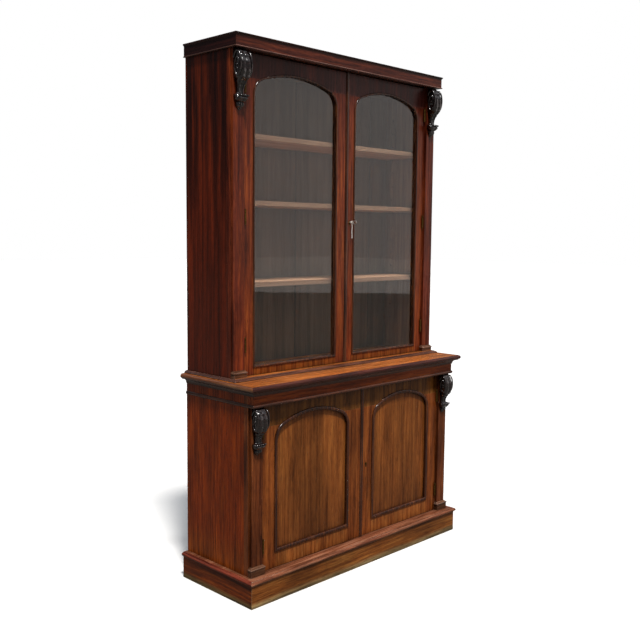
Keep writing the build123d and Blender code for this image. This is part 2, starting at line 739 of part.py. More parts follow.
save("glazed_right_astragal", astragal(CASE_DOOR_FACE, GLAZED_DOOR_FOOT, GLAZED_DOOR_TOP))
save("panel_right_astragal", astragal(BASE_DOOR_FACE, PANEL_DOOR_FOOT, PANEL_DOOR_TOP))

# Locks and slide bolts
save("upper_lock_case", upper_case, upper_plate)
save("upper_lock_bolt", upper_bolt)
save("lower_lock_case", lower_case, lower_plate)
save("lower_lock_bolt", lower_bolt)
for pair, door_back, lock_z, low_end, high_end in (
    ("upper", case_door_back, UPPER_KEY_Z, CASE_FLOOR + 3, CASE_CEILING - 3),
    ("lower", base_door_back, LOWER_KEY_Z, PLINTH_TOP + 3, BASE_STOP_FOOT - 3),
):
    top_plate, top_bar = slide_bolt(door_back, high_end, 1)
    foot_plate, foot_bar = slide_bolt(door_back, low_end, -1)
    save(f"{pair}_bolt_plates", top_plate, foot_plate, lock_keep(lock_z, door_back))
    save(f"{pair}_slide_bolt_top", top_bar)
    save(f"{pair}_slide_bolt_foot", foot_bar)

# Key: shank, collar, bit and an oval bow
key_end = case_door_back + 8
SHANK_FRONT = -81
shank_length = key_end - SHANK_FRONT
key = rod(SHANK_RADIUS, UPPER_KEY_X, key_end, UPPER_KEY_Z, shank_length, (0, -1, 0))
key += rod(4.2, UPPER_KEY_X, -67, UPPER_KEY_Z, 3, (0, -1, 0))
bit_foot = UPPER_KEY_Z - KEY_BIT_RADIUS + 0.2
key += board(
    UPPER_KEY_X - 1.2, UPPER_KEY_X + 1.2, case_door_back + 3, case_door_back + 7, bit_foot, UPPER_KEY_Z
)
bow_plane = Plane(origin=(UPPER_KEY_X - 1.6, -92, UPPER_KEY_Z), x_dir=(0, 1, 0), z_dir=(1, 0, 0))
bow = extrude(bow_plane * (Ellipse(13, 10) - Ellipse(8.5, 5.8)), amount=3.2)
save("key", key + bow)

# String looped round the key's shank, hanging in front of the door
string_route = [
    (UPPER_KEY_X, STRING_Y, 1596.5),
    (UPPER_KEY_X + 1.2, STRING_Y - 0.6, 1580),
    (UPPER_KEY_X - 0.8, STRING_Y + 0.7, 1564),
    (UPPER_KEY_X + 0.9, STRING_Y - 0.4, 1549),
    (UPPER_KEY_X + 0.2, STRING_Y + 0.3, 1535),
]


def corner_radii(route):
    """The largest arc that each corner of a route has room for."""
    radii = []
    for before, here, after in zip(route[:-2], route[1:-1], route[2:]):
        arriving = Vector(*here) - Vector(*before)
        leaving = Vector(*after) - Vector(*here)
        half_turn = math.radians(arriving.get_angle(leaving)) / 2
        radii.append(0.45 * min(arriving.length, leaving.length) / math.tan(half_turn))
    return radii


string_radii = corner_radii(string_route)
print("string radii", [round(radius, 1) for radius in string_radii])
string_path = FilletPolyline(*string_route, radius=string_radii)
string_start = Plane(origin=string_path @ 0, z_dir=string_path % 0)
string = sweep(string_start * Circle(STRING_DIAMETER / 2), path=string_path)
string_section = math.pi * STRING_DIAMETER**2 / 4
print("string volume over section times length", string.volume / (string_section * string_path.length))
save("key_string", string)

# The loop round the shank, the knot under it and the knot at the end
LOOP_RADIUS = SHANK_RADIUS + STRING_DIAMETER / 2 + 0.4
loop = Plane(origin=(UPPER_KEY_X, STRING_Y, UPPER_KEY_Z), z_dir=(0, 1, 0)) * Torus(
    LOOP_RADIUS, STRING_DIAMETER / 2
)
knot_top = Pos(UPPER_KEY_X, STRING_Y, 1598.4) * Sphere(3)
end_x, end_y, end_z = string_route[-1]
knot_end = Pos(end_x, end_y, end_z - 2) * Sphere(2.8)
save("string_knots", loop + knot_top - string, knot_end - string)
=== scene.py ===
"""Looks of a two-part glazed mahogany bookcase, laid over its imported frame.

Metres, +Z up, the front faces -Y and the viewer's right is +X, as in the frame.
"""

import math

import bmesh
import bpy
from mathutils import Matrix, Vector


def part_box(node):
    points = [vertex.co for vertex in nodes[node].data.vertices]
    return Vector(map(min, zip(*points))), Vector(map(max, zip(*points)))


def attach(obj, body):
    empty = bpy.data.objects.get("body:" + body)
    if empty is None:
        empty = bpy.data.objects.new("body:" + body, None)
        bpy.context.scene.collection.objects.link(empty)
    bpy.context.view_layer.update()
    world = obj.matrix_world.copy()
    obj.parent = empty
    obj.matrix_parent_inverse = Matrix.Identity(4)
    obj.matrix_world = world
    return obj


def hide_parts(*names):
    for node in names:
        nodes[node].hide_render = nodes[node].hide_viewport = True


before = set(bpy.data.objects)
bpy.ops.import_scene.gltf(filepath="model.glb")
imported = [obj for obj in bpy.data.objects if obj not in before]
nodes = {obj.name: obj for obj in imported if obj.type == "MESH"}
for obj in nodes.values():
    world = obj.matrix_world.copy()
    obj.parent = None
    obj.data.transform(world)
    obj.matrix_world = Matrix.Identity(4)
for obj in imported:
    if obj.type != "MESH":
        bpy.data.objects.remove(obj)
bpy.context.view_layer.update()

MM = 0.001

# Camera, with its turns in degrees and its lens and sensor in millimetres
CAMERA_PLACE = Vector((-2.874, -2.781, 1.547))
CAMERA_YAW = -45.1
CAMERA_PITCH = -5.78
CAMERA_ROLL = 0.51
CAMERA_LENS = 47.37
CAMERA_SENSOR = 36

# Lights: a high lamp, spread over some degrees, and a wide panel that the door glass mirrors
LAMP_DIRECTION = Vector((0.55, 1.0, -2.15))
LAMP_STRENGTH = 3.2
LAMP_SPREAD = 7
LAMP_COLOUR = (1.0, 0.97, 0.93)
PANEL_PLACE = Vector((3.9, -3.9, 2.25))
PANEL_TARGET = Vector((0.0, -0.1, 2.25))
PANEL_WIDTH = 9.0
PANEL_HEIGHT = 2.7
PANEL_POWER = 46
PANEL_COLOUR = (1.0, 0.9, 0.86)
FLOOR_REACH = 40

# Boards and mouldings of the frame
SIDE_THICKNESS = 22 * MM
LIP_HEIGHT = 12 * MM
FILLET_HEIGHT = 14 * MM
# a door's rails lie within this share of its height from the ends, and are at least so long
RAIL_SHARE = 0.2
LEAST_RAIL = 200 * MM
# the X of one joint between the back boards, and their pitch
BACK_JOINT = (-0.027, 0.539)

# Corbels: OUT and DOWN are shares of a corbel's depth and height
CORBEL_WIDTH = 58 * MM
# the carving's thicknesses are for a corbel this high
FULL_CORBEL = 243 * MM
CORBEL_ROWS = 96
REED_COLUMNS = 32
REEDS = 2
VOLUTE_TURNS = 1.9
VOLUTE_STEPS = 90
VOLUTE_OUT = 0.52
VOLUTE_DOWN = 0.28
BEADS = 5
BEAD_RADIUS = 4.8 * MM
KNOB_OUT = 0.6
KNOB_DOWN = 0.765

# String on the key, in metres, as in the frame's own route
STRING_ROUTE = [
    (0.0480, -0.0760, 1.5965),
    (0.0492, -0.0766, 1.5800),
    (0.0472, -0.0753, 1.5640),
    (0.0489, -0.0764, 1.5490),
    (0.0482, -0.0757, 1.5350),
]
STRING_DIAMETER = 3.2 * MM
TWIST_LENGTH = 9 * MM
KNUCKLE_LENGTH = 13 * MM
LOOP_RADIUS = 5 * MM
LOOP_DROP = 6.6 * MM
LOOP_STEPS = 32
# each knot's height and half width
KNOTS = [(1.5984, 2.9 * MM), (1.5772, 2.3 * MM), (1.5592, 2.2 * MM), (1.5455, 2.1 * MM), (1.5335, 2.7 * MM)]


# Small helpers


def linear(hex_colour):
    """An sRGB hex colour as linear red, green, blue and alpha."""
    channels = [int(hex_colour[i : i + 2], 16) / 255 for i in (1, 3, 5)]
    return [c / 12.92 if c <= 0.04045 else ((c + 0.055) / 1.055) ** 2.4 for c in channels] + [1.0]


def add(tree, kind, inputs=None, stops=(), **settings):
    """Adds a node with its settings, its inputs as values or links, and its ramp's stops."""
    node = tree.nodes.new("ShaderNode" + kind)
    for name, value in settings.items():
        setattr(node, name, value)
    for name, value in (inputs or {}).items():
        if isinstance(value, bpy.types.NodeSocket):
            tree.links.new(value, node.inputs[name])
        else:
            node.inputs[name].default_value = value
    for index, (place, colour) in enumerate(stops):
        elements = node.color_ramp.elements
        element = elements[index] if index < 2 else elements.new(place)
        element.position = place
        element.color = linear(colour)
    return node


def new_material(name):
    """An empty material, its node tree and its surface socket."""
    material = bpy.data.materials.new(name)
    material.use_nodes = True
    tree = material.node_tree
    tree.nodes.clear()
    output = add(tree, "OutputMaterial")
    return material, tree, output.inputs["Surface"]


def piece_from(bm, name, material, body, *replaced):
    """A finished mesh piece that rides on a body and stands for some CAD nodes."""
    mesh = bpy.data.meshes.new(name)
    bmesh.ops.recalc_face_normals(bm, faces=bm.faces)
    bm.to_mesh(mesh)
    bm.free()
    for polygon in mesh.polygons:
        polygon.use_smooth = True
    mesh.materials.append(material)
    piece = bpy.data.objects.new(name, mesh)
    bpy.context.scene.collection.objects.link(piece)
    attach(piece, body)
    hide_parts(*replaced)
    return piece


# Finishes


def stretch(grain, share):
    """Mapping scales that draw a pattern out along the grain."""
    return [share if axis == grain else 1.0 for axis in "XYZ"]


def ribbon_grain(tree, grain, streak, figure):
    """The clouds, streaks and pores of a sawn board, and the place that bends with its figure."""
    place = add(tree, "TexCoord").outputs["Object"]
    cloud_place = add(tree, "Mapping", {"Vector": place, "Scale": stretch(grain, 0.25)}).outputs[0]
    cloud = add(tree, "TexNoise", {"Vector": cloud_place, "Scale": 1 / figure, "Detail": 3.0})
    # the cloud bends the streaks, so the figure runs in slow waves
    lean = add(tree, "VectorMath", {0: cloud.outputs["Color"], "Scale": 1.6 * streak}, operation="SCALE")
    bent = add(tree, "VectorMath", {0: place, 1: lean.outputs[0]}).outputs[0]
    streak_place = add(tree, "Mapping", {"Vector": bent, "Scale": stretch(grain, 0.035)}).outputs[0]
    streaks = add(
        tree, "TexNoise",
        {"Vector": streak_place, "Scale": 1 / streak, "Detail": 5.0, "Roughness": 0.62, "Distortion": 0.4},
    )
    # pores are 0.3 mm wide on the real board and are drawn 2 mm wide so that they show
    pore_place = add(tree, "Mapping", {"Vector": bent, "Scale": stretch(grain, 0.06)}).outputs[0]
    pores = add(tree, "TexNoise", {"Vector": pore_place, "Scale": 1 / (2 * MM), "Detail": 2.0})
    return bent, cloud.outputs["Fac"], streaks.outputs["Fac"], pores.outputs["Fac"]


def fade_board(tree, board, place, streaks, axis, start, end, fade_colour):
    """Turns a board to another colour along an axis, with its streaks still showing."""
    where = add(tree, "SeparateXYZ", {"Vector": place}).outputs[axis]
    share = add(
        tree, "MapRange", {"Value": where, "From Min": start, "From Max": end, "To Max": 0.85},
        interpolation_type="SMOOTHSTEP",
    )
    strength = add(
        tree, "MapRange", {"Value": streaks, "From Min": 0.3, "From Max": 0.7, "To Min": 0.35, "To Max": 1.5},
    )
    faded = add(
        tree, "VectorMath", {0: linear(fade_colour)[:3], "Scale": strength.outputs[0]}, operation="SCALE",
    )
    mixed = add(
        tree, "Mix", {"Factor": share.outputs[0], "A": board, "B": faded.outputs[0]}, data_type="RGBA",
    )
    return mixed.outputs[2]


def paint_corner_shade(tree, colour, reach, closed, clear, darkest):
    """Paints shade into a colour in every inner corner, darker the more closed in the corner is."""
    corner = add(tree, "AmbientOcclusion", {"Distance": reach}, samples=6)
    corner_shade = add(
        tree, "MapRange",
        {"Value": corner.outputs["AO"], "From Min": closed, "From Max": clear, "To Min": darkest},
    )
    return add(tree, "VectorMath", {0: colour, "Scale": corner_shade.outputs[0]}, operation="SCALE").outputs[0]


def rub_arrises(tree, colour, cloud, rub, wear):
    """Hands and dusters rub the arrises back to paler wood; also gives the arrises' rounded normal."""
    rounded = add(tree, "Bevel", {"Radius": rub}, samples=4).outputs[0]
    flat = add(tree, "NewGeometry").outputs["Normal"]
    facing = add(tree, "VectorMath", {0: rounded, 1: flat}, operation="DOT_PRODUCT")
    edge = add(tree, "MapRange", {"Value": facing.outputs["Value"], "From Min": 0.985, "From Max": 0.86})
    patchy = add(tree, "MapRange", {"Value": cloud, "From Min": 0.42, "From Max": 0.62, "To Max": 0.7})
    share = add(tree, "Math", {0: edge.outputs[0], 1: patchy.outputs[0]}, operation="MULTIPLY")
    worn = add(
        tree, "Mix", {"Factor": share.outputs[0], "A": colour, "B": linear(wear)}, data_type="RGBA",
    )
    return worn.outputs[2], rounded


def mahogany(
    name, grain, dark, middle, light, streak=14, figure=70, polish=0.22, gloss=0.22, wear="#8a5a40", rub=1.6,
    fade=None,
):
    """French-polished Honduras mahogany, a board sawn along the grain.

    The eye gets long ribbon streaks, dark pores, slow clouds of colour, painted shade in the corners,
    rubbed arrises and a soft mirror. streak and figure are widths in millimetres, polish is
    the roughness, and gloss is how strongly the polish mirrors. rub is how far an arris is
    rounded, in millimetres, and wear is the colour of the rubbed wood. fade is (axis, from,
    to, hex): the board turns to that colour along one of the row's axes.
    """
    material, tree, surface = new_material(f"polished_mahogany_{name}")
    place, cloud, streaks, pores = ribbon_grain(tree, grain, streak * MM, figure * MM)
    tones = add(tree, "ValToRGB", {"Fac": streaks}, stops=[(0.30, dark), (0.50, middle), (0.70, light)])
    board = tones.outputs["Color"]
    if fade:
        board = fade_board(tree, board, place, streaks, *fade)
    cloud_tone = add(
        tree, "MapRange",
        {"Value": cloud, "From Min": 0.35, "From Max": 0.68, "To Min": 0.62, "To Max": 1.18},
    )
    clouded = add(tree, "VectorMath", {0: board, "Scale": cloud_tone.outputs[0]}, operation="SCALE")
    pore_tone = add(tree, "MapRange", {"Value": pores, "From Min": 0.34, "From Max": 0.5, "To Min": 0.55})
    pored = add(tree, "VectorMath", {0: clouded.outputs[0], "Scale": pore_tone.outputs[0]}, operation="SCALE")
    # painted shade in the inner corners
    corner_shaded = paint_corner_shade(tree, pored.outputs[0], 45 * MM, closed=0.25, clear=0.85, darkest=0.35)
    worn, rounded = rub_arrises(tree, corner_shaded, cloud, rub * MM, wear)
    rough = add(
        tree, "MapRange",
        {"Value": streaks, "From Min": 0.3, "From Max": 0.7, "To Min": polish, "To Max": polish + 0.14},
    )
    bump = add(tree, "Bump", {"Height": pores, "Distance": 0.25 * MM, "Strength": 0.35, "Normal": rounded})
    shader = add(
        tree, "BsdfPrincipled",
        {
            "Base Color": worn, "Roughness": rough.outputs[0], "Normal": bump.outputs[0],
            "IOR": 1.5, "Specular IOR Level": gloss,
        },
    )
    tree.links.new(shader.outputs[0], surface)
    return material


def carved_mahogany():
    """Mahogany carved with gouges, stained and polished until nearly black, bright on its high points, with
    painted shade in its hollows.
    """
    material, tree, surface = new_material("carved_mahogany")
    place = add(tree, "TexCoord").outputs["Object"]
    # a gouge leaves cuts about 7 mm wide
    gouge = add(tree, "TexNoise", {"Vector": place, "Scale": 1 / (7 * MM), "Detail": 4.0}).outputs["Fac"]
    tones = add(
        tree, "ValToRGB", {"Fac": gouge}, stops=[(0.35, "#0b0606"), (0.55, "#1a0d0b"), (0.7, "#2c1512")],
    )
    # painted shade in the hollows of the carving
    colour = paint_corner_shade(tree, tones.outputs["Color"], 14 * MM, closed=0.2, clear=1.0, darkest=0.2)
    rough = add(
        tree, "MapRange", {"Value": gouge, "From Min": 0.3, "From Max": 0.7, "To Min": 0.16, "To Max": 0.34},
    )
    bump = add(tree, "Bump", {"Height": gouge, "Distance": 0.15 * MM, "Strength": 0.3})
    shader = add(
        tree, "BsdfPrincipled",
        {
            "Base Color": colour, "Roughness": rough.outputs[0], "Normal": bump.outputs[0],
            "IOR": 1.52, "Coat Weight": 0.9, "Coat Roughness": 0.14, "Coat IOR": 1.5,
        },
    )
    tree.links.new(shader.outputs[0], surface)
    return material


def plain_board(name, grain, dark, light, rough=0.6, plank=30, joint=None):
    """An oiled or stained secondary board, sawn and left without polish, dull with an open even grain.

    plank is the width of its broad streaks in millimetres. joint is (one joint's X, pitch):
    a dark line is drawn along the joints between such boards, partly painted shade of the gap and partly
    dirt.
    """
    material, tree, surface = new_material(name)
    place = add(tree, "TexCoord").outputs["Object"]
    board_place = add(tree, "Mapping", {"Vector": place, "Scale": stretch(grain, 0.04)}).outputs[0]
    broad = add(
        tree, "TexNoise",
        {"Vector": board_place, "Scale": 1 / (plank * MM), "Detail": 4.0, "Distortion": 0.5},
    )
    # the open grain is about 1 mm wide and is drawn 4 mm wide so that it shows
    fine = add(tree, "TexNoise", {"Vector": board_place, "Scale": 1 / (4 * MM), "Detail": 3.0}).outputs["Fac"]
    mixed = add(tree, "Mix", {"Factor": 0.4, "A": broad.outputs["Fac"], "B": fine})
    tones = add(tree, "ValToRGB", {"Fac": mixed.outputs[0]}, stops=[(0.36, dark), (0.64, light)])
    # painted shade in the inner corners
    colour = paint_corner_shade(tree, tones.outputs["Color"], 60 * MM, closed=0.2, clear=0.9, darkest=0.5)
    # a dark line along each joint, partly painted shade of the gap between boards and partly dirt
    if joint:
        joint_x, pitch = joint
        across = add(tree, "SeparateXYZ", {"Vector": place}).outputs["X"]
        from_joint = add(tree, "Math", {0: across, 1: -joint_x}, operation="ADD")
        away = add(tree, "Math", {0: from_joint.outputs[0], 1: pitch / 2}, operation="PINGPONG")
        line = add(
            tree, "MapRange",
            {"Value": away.outputs[0], "From Min": 2 * MM, "From Max": 4 * MM, "To Min": 0.12},
        )
        lined = add(tree, "VectorMath", {0: colour, "Scale": line.outputs[0]}, operation="SCALE")
        colour = lined.outputs[0]
    rounded = add(tree, "Bevel", {"Radius": 1.2 * MM}, samples=4).outputs[0]
    bump = add(tree, "Bump", {"Height": fine, "Distance": 0.4 * MM, "Strength": 0.4, "Normal": rounded})
    shade = add(tree, "MapRange", {"Value": fine, "To Min": rough - 0.1, "To Max": rough + 0.1})
    shader = add(
        tree, "BsdfPrincipled",
        {
            "Base Color": colour, "Roughness": shade.outputs[0], "Normal": bump.outputs[0],
            "IOR": 1.48, "Specular IOR Level": 0.3,
        },
    )
    tree.links.new(shader.outputs[0], surface)
    return material


def sheet_glass():
    """Old drawn window glass: clear, very slightly grey-green, with faint waves that bend what it mirrors."""
    material, tree, surface = new_material("drawn_sheet_glass")
    place = add(tree, "TexCoord").outputs["Object"]
    stretched = add(tree, "Mapping", {"Vector": place, "Scale": stretch("Z", 0.35)}).outputs[0]
    waves = add(tree, "TexNoise", {"Vector": stretched, "Scale": 1 / (120 * MM), "Detail": 1.0})
    bump = add(tree, "Bump", {"Height": waves.outputs["Fac"], "Distance": 0.6 * MM, "Strength": 0.25})
    dust = add(tree, "TexNoise", {"Vector": place, "Scale": 1 / (45 * MM), "Detail": 5.0}).outputs["Fac"]
    haze = add(
        tree, "MapRange", {"Value": dust, "From Min": 0.4, "From Max": 0.8, "To Min": 0.0, "To Max": 0.06},
    )
    shader = add(
        tree, "BsdfPrincipled",
        {
            "Base Color": linear("#e9efec"), "Roughness": haze.outputs[0], "Normal": bump.outputs[0],
            "IOR": 1.52, "Transmission Weight": 1.0,
        },
    )
    # light passes straight through to the shelves
    clear = add(tree, "BsdfTransparent", {"Color": linear("#e2e8e5")})
    ray = add(tree, "LightPath").outputs["Is Shadow Ray"]
    mixed = add(tree, "MixShader", {0: ray, 1: shader.outputs[0], 2: clear.outputs[0]})
    tree.links.new(mixed.outputs[0], surface)
    return material


def metal(name, dark, light, polish):
    """Cast or filed metal that handling has brightened in places and air has dulled in others."""
    material, tree, surface = new_material(name)
    place = add(tree, "TexCoord").outputs["Object"]
    # tarnish comes in spots about 5 mm across
    tarnish = add(
        tree, "TexNoise", {"Vector": place, "Scale": 1 / (5 * MM), "Detail": 5.0, "Roughness": 0.6},
    ).outputs["Fac"]
    tones = add(tree, "ValToRGB", {"Fac": tarnish}, stops=[(0.35, dark), (0.65, light)])
    rough = add(
        tree, "MapRange",
        {"Value": tarnish, "From Min": 0.3, "From Max": 0.7, "To Min": polish + 0.2, "To Max": polish},
    )
    rounded = add(tree, "Bevel", {"Radius": 0.4 * MM}, samples=4).outputs[0]
    bump = add(tree, "Bump", {"Height": tarnish, "Distance": 0.1 * MM, "Strength": 0.4, "Normal": rounded})
    shader = add(
        tree, "BsdfPrincipled",
        {
            "Base Color": tones.outputs["Color"], "Roughness": rough.outputs[0], "Normal": bump.outputs[0],
            "Metallic": 1.0,
        },
    )
    tree.links.new(shader.outputs[0], surface)
    return material


def cotton_string():
    """White cotton string, twisted from two plies, fuzzy and a little grubby where fingers pull it."""
    material, tree, surface = new_material("twisted_cotton")
    place = add(tree, "TexCoord").outputs["Object"]
    # fibres are too fine to show and are drawn 0.8 mm wide
    fibre = add(tree, "TexNoise", {"Vector": place, "Scale": 1 / (0.8 * MM), "Detail": 4.0}).outputs["Fac"]
    soil = add(tree, "TexNoise", {"Vector": place, "Scale": 1 / (14 * MM), "Detail": 2.0}).outputs["Fac"]
    mixed = add(tree, "Mix", {"Factor": 0.5, "A": fibre, "B": soil})
    tones = add(tree, "ValToRGB", {"Fac": mixed.outputs[0]}, stops=[(0.3, "#cdbcb0"), (0.5, "#fbf7f3")])
    bump = add(tree, "Bump", {"Height": fibre, "Distance": 0.3 * MM, "Strength": 0.6})
    rough = add(tree, "MapRange", {"Value": soil, "To Min": 0.8, "To Max": 0.95})
    shader = add(
        tree, "BsdfPrincipled",
        {
            "Base Color": tones.outputs["Color"], "Roughness": rough.outputs[0], "Normal": bump.outputs[0],
            "Sheen Weight": 0.4, "Sheen Roughness": 0.5,
        },
    )
    tree.links.new(shader.outputs[0], surface)
    return material


# Camera, floor and light


def place_camera():
    """Aims the camera by its yaw and pitch, and then rolls it."""
    yaw, pitch, roll = (math.radians(turn) for turn in (CAMERA_YAW, CAMERA_PITCH, CAMERA_ROLL))
    forward = Vector((-math.sin(yaw) * math.cos(pitch), math.cos(yaw) * math.cos(pitch), math.sin(pitch)))
    level = Vector((math.cos(yaw), math.sin(yaw), 0))
    upright = level.cross(forward)
    right = math.cos(roll) * level + math.sin(roll) * upright
    up = -math.sin(roll) * level + math.cos(roll) * upright
    data = bpy.data.cameras.new("camera")
    data.lens = CAMERA_LENS
    data.sensor_width = CAMERA_SENSOR
    data.clip_end = 200
    camera = bpy.data.objects.new("camera", data)
    turn = Matrix((right, up, -forward)).transposed().to_4x4()
    camera.matrix_world = Matrix.Translation(CAMERA_PLACE) @ turn
    bpy.context.scene.collection.objects.link(camera)
    bpy.context.scene.camera = camera


def white_paper():
    """Matt white paper, bright to look at, which throws little light back up."""
    material, tree, surface = new_material("white_paper")
    place = add(tree, "TexCoord").outputs["Object"]
    tooth = add(tree, "TexNoise", {"Vector": place, "Scale": 1 / (3 * MM), "Detail": 3.0})
    tones = add(tree, "ValToRGB", {"Fac": tooth.outputs["Fac"]}, stops=[(0.3, "#f3f3f2"), (0.7, "#f9f9f8")])
    shader = add(tree, "BsdfPrincipled", {"Base Color": tones.outputs["Color"], "Roughness": 0.9, "IOR": 1.3})
    dim = add(tree, "BsdfDiffuse", {"Color": linear("#6e6c68")})
    ray = add(tree, "LightPath").outputs["Is Camera Ray"]
    mixed = add(tree, "MixShader", {0: ray, 1: dim.outputs[0], 2: shader.outputs[0]})
    tree.links.new(mixed.outputs[0], surface)
    return material


def lay_floor():
    """A sheet wide enough to reach the horizon."""
    bm = bmesh.new()
    bmesh.ops.create_grid(bm, x_segments=8, y_segments=8, size=FLOOR_REACH)
    mesh = bpy.data.meshes.new("floor")
    bm.to_mesh(mesh)
    bm.free()
    mesh.materials.append(white_paper())
    floor = bpy.data.objects.new("floor", mesh)
    bpy.context.scene.collection.objects.link(floor)


def light_room():
    """A room that is dim round the walls and bright overhead, and white to look at."""
    world = bpy.data.worlds.new("studio")
    bpy.context.scene.world = world
    world.use_nodes = True
    tree = world.node_tree
    tree.nodes.clear()
    direction = add(tree, "TexCoord").outputs["Generated"]
    height = add(tree, "SeparateXYZ", {"Vector": direction}).outputs["Z"]
    room = add(
        tree, "ValToRGB", {"Fac": height},
        stops=[(0.0, "#4a4a4c"), (0.3, "#5e5e60"), (0.6, "#a0a2a6"), (0.95, "#dde2ea")],
    )
    lit = add(tree, "Background", {"Color": room.outputs["Color"], "Strength": 1.0})
    seen = add(tree, "Background", {"Color": linear("#ffffff"), "Strength": 1.0})
    ray = add(tree, "LightPath").outputs["Is Camera Ray"]
    mixed = add(tree, "MixShader", {0: ray, 1: lit.outputs[0], 2: seen.outputs[0]})
    output = add(tree, "OutputWorld")
    tree.links.new(mixed.outputs[0], output.inputs["Surface"])


def hang_lamp():
    """One warm main light, high on the front left, with soft-edged shadows."""
    light = bpy.data.lights.new("lamp", "SUN")
    light.energy = LAMP_STRENGTH
    light.angle = math.radians(LAMP_SPREAD)
    light.color = LAMP_COLOUR
    lamp = bpy.data.objects.new("lamp", light)
    lamp.rotation_euler = LAMP_DIRECTION.to_track_quat("-Z", "Y").to_euler()
    bpy.context.scene.collection.objects.link(lamp)


def stand_panel():
    """A wide warm panel on the front right, whose lower edge ends the veil on the door glass."""
    light = bpy.data.lights.new("panel", "AREA")
    light.shape = "RECTANGLE"
    light.size = PANEL_WIDTH
    light.size_y = PANEL_HEIGHT
    light.energy = PANEL_POWER
    light.color = PANEL_COLOUR
    panel = bpy.data.objects.new("panel", light)
    panel.location = PANEL_PLACE
    panel.rotation_euler = (PANEL_TARGET - PANEL_PLACE).to_track_quat("-Z", "Y").to_euler()
    panel.visible_camera = False
    bpy.context.scene.collection.objects.link(panel)


# Which finish goes where


def patches(mesh):
    """The polygons of each smooth patch of a CAD mesh, with the patch's lowest and highest corners."""
    leader = list(range(len(mesh.vertices)))

    def lead(index):
        while leader[index] != index:
            leader[index] = leader[leader[index]]
            index = leader[index]
        return index

    for polygon in mesh.polygons:
        first = lead(polygon.vertices[0])
        for vertex in polygon.vertices:
            leader[lead(vertex)] = first
    groups = {}
    for polygon in mesh.polygons:
        groups.setdefault(lead(polygon.vertices[0]), []).append(polygon)
    for polygons in groups.values():
        points = [mesh.vertices[v].co for polygon in polygons for v in polygon.vertices]
        low = Vector([min(p[i] for p in points) for i in range(3)])
        high = Vector([max(p[i] for p in points) for i in range(3)])
        yield polygons, low, high


def finish(name, choose):
    """Gives each smooth patch of a CAD node the material that choose(low, high) returns for its box."""
    mesh = nodes[name].data
    mesh.materials.clear()
    slots = {}
    for polygons, low, high in patches(mesh):
        material = choose(low, high)
        if material.name not in slots:
            slots[material.name] = len(slots)
            mesh.materials.append(material)
        for polygon in polygons:
            polygon.material_index = slots[material.name]


def finish_all(material, *names):
    """Gives whole CAD nodes one material."""
    for name in names:
        finish(name, lambda low, high: material)


def lies_across(low, high):
    """Whether a patch runs across the front rather than back along a side."""
    return high.x - low.x > high.y - low.y


def along_run(front, side):
    """Chooses by the way a run of moulding lies."""
    return lambda low, high: front if lies_across(low, high) else side


def by_face(name, outside, inside):
    """Chooses for a pair of side boards between their outer and their inner faces."""
    outer_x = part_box(name)[1].x

    def choose(low, high):
        reach = max(abs(low.x), abs(high.x))
        return inside if reach < outer_x - SIDE_THICKNESS + 0.5 * MM else outside

    return choose


def by_rail(name, stile, head, foot):
    """Chooses among a door's stiles, head rail and foot rail by where a patch of its frame lies."""
    low_box, high_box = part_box(name)
    height = high_box.z - low_box.z

    def choose(low, high):
        if low.z > high_box.z - RAIL_SHARE * height:
            return head
        if high.z < low_box.z + RAIL_SHARE * height and high.x - low.x > LEAST_RAIL:
            return foot
        return stile

    return choose


# Finishes of each part of the frame


def dress_case():
    """Dark sides streaked with orange towards the foot, and redder stiles."""
    side = mahogany(
        "case_side", "Z", "#1d0a08", "#3c140a", "#7c2c0e", streak=22, figure=160,
        fade=("Z", 2.3, 1.1, "#6e2409"),
    )
    inside = plain_board("sawn_mahogany_case_inside", "Z", "#6a4a38", "#9a7660")
    finish("case_sides", by_face("case_sides", side, inside))
    stile = mahogany("case_stile", "Z", "#3c140d", "#6e2a15", "#9c461d", streak=16)
    finish_all(stile, "case_pilasters")


def dress_glazed_doors():
    """Orange stiles that darken upwards, a dull red head rail and a bright figured foot rail."""
    stile = mahogany(
        "glazed_stile", "Z", "#4a190e", "#823716", "#ae5823", streak=12, figure=90,
        fade=("Z", 1.7, 2.3, "#5a2014"),
    )
    head = mahogany("glazed_head", "Z", "#341814", "#522620", "#70382c", streak=26, figure=110)
    foot = mahogany("glazed_foot", "Z", "#5a2408", "#8a4410", "#b5661e", streak=9, figure=60)
    for name in ("glazed_left_frame", "glazed_right_frame"):
        finish(name, by_rail(name, stile, head, foot))
    finish_all(sheet_glass(), "glazed_left_glass", "glazed_right_glass")


def dress_mouldings():
    """Glossy dark mouldings, whose rounded beads catch thin highlights."""
    front = mahogany(
        "moulding_front", "X", "#341a10", "#5a2e1a", "#804a30", streak=10, polish=0.16, gloss=0.45,
        wear="#a07a6c",
    )
    side = mahogany(
        "moulding_side", "Y", "#2c1610", "#4c281c", "#70442e", streak=10, polish=0.16, gloss=0.45,
        wear="#a07a6c",
    )
    bead = mahogany(
        "bead", "Z", "#28120c", "#4a2412", "#74401e", streak=10, polish=0.14, gloss=0.5, wear="#b08a78",
    )
    finish("waist_mouldings", along_run(front, side))
    finish("case_foot_mouldings", along_run(front, side))
    finish_all(front, "cornice_soffit")
    finish_all(
        bead, "glazed_left_beads", "glazed_right_beads", "panel_left_moulding", "panel_right_moulding",
        "glazed_right_astragal", "panel_right_astragal",
    )
    dress_cornice(side)


